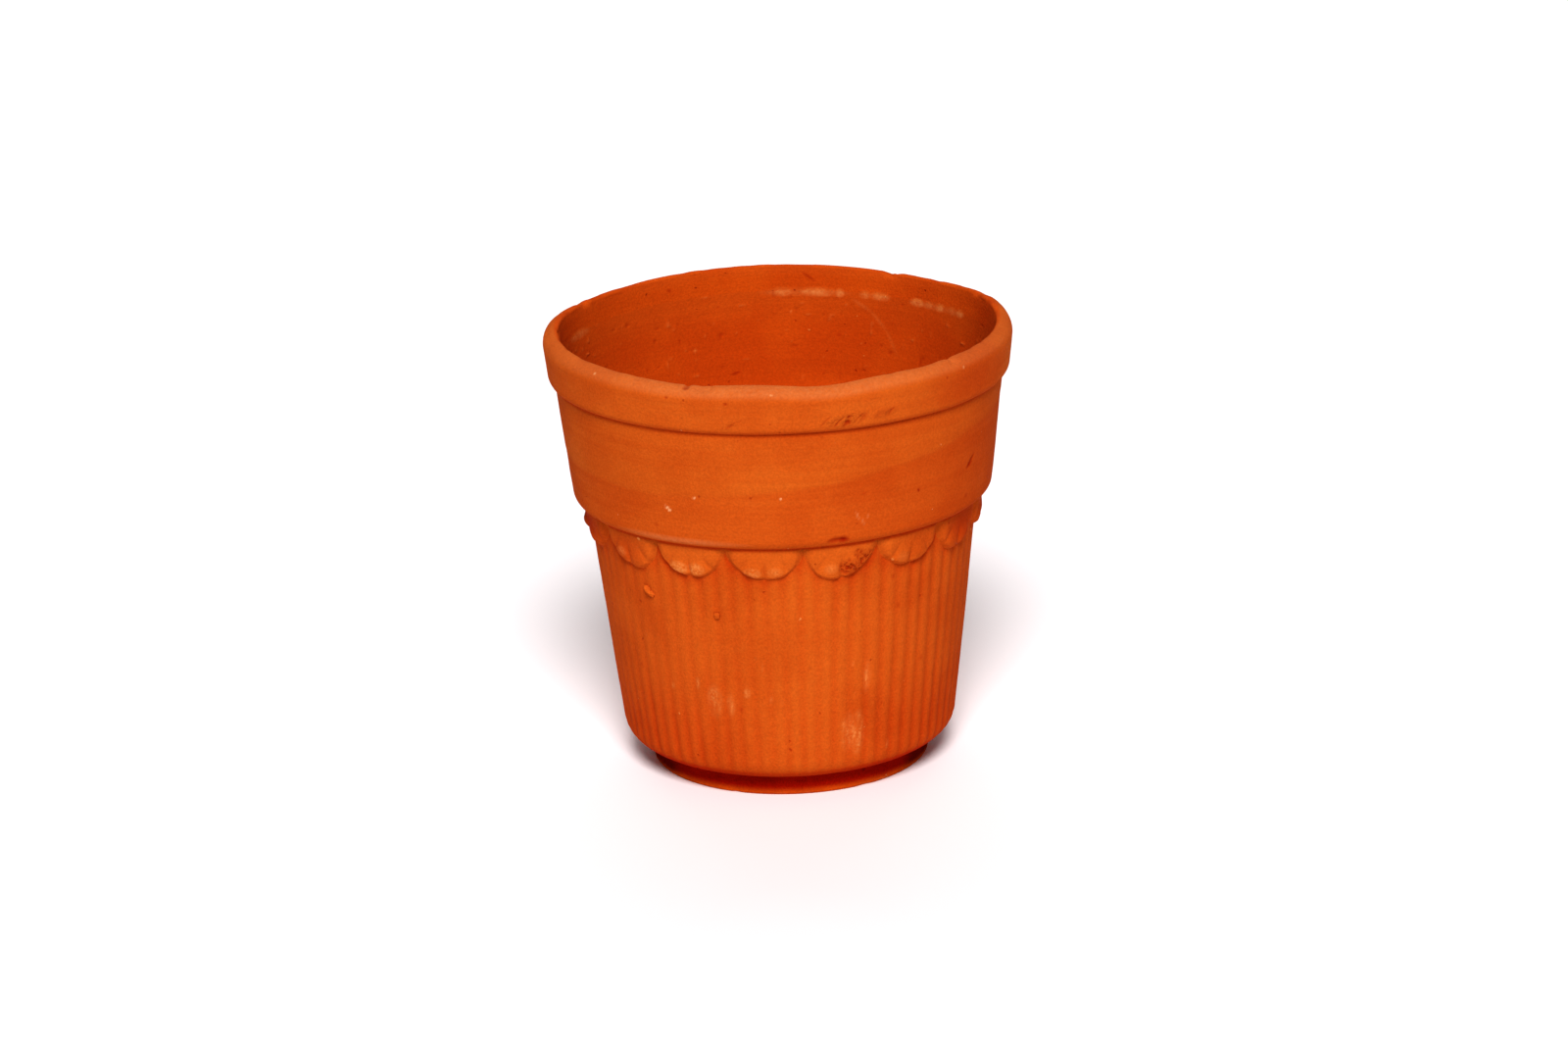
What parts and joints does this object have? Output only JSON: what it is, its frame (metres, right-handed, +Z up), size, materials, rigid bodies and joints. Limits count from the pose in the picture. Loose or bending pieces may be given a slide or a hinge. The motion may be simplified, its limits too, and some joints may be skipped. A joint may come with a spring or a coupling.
{
  "type": "clay cup",
  "caption": "Footed terracotta kulhad cup: a leaning fluted wall, scallops under a plain collar, and a thick band with a rounded lip. It stands free and holds a drink.",
  "frame": {"origin": "middle of the foot ring's resting face, at table height", "axes": "+Z up along the cup's axis; -Y is the side that faces the camera in the picture; +X to its right"},
  "size_m": [0.1006, 0.1006, 0.097],
  "materials": {
    "terracotta": "matt unglazed fired clay"
  },
  "bodies": {
    "root": {"foot_ring": "terracotta", "floor_disc": "terracotta", "fluted_wall": "terracotta", "collar": "terracotta", "lip_band": "terracotta", "scallop_01": "terracotta", "scallop_02": "terracotta", "scallop_03": "terracotta", "scallop_04": "terracotta", "scallop_05": "terracotta", "scallop_06": "terracotta", "scallop_07": "terracotta", "scallop_08": "terracotta", "scallop_09": "terracotta", "scallop_10": "terracotta", "scallop_11": "terracotta", "scallop_12": "terracotta", "scallop_13": "terracotta", "scallop_14": "terracotta", "scallop_15": "terracotta", "scallop_16": "terracotta"}
  },
  "joints": []
}
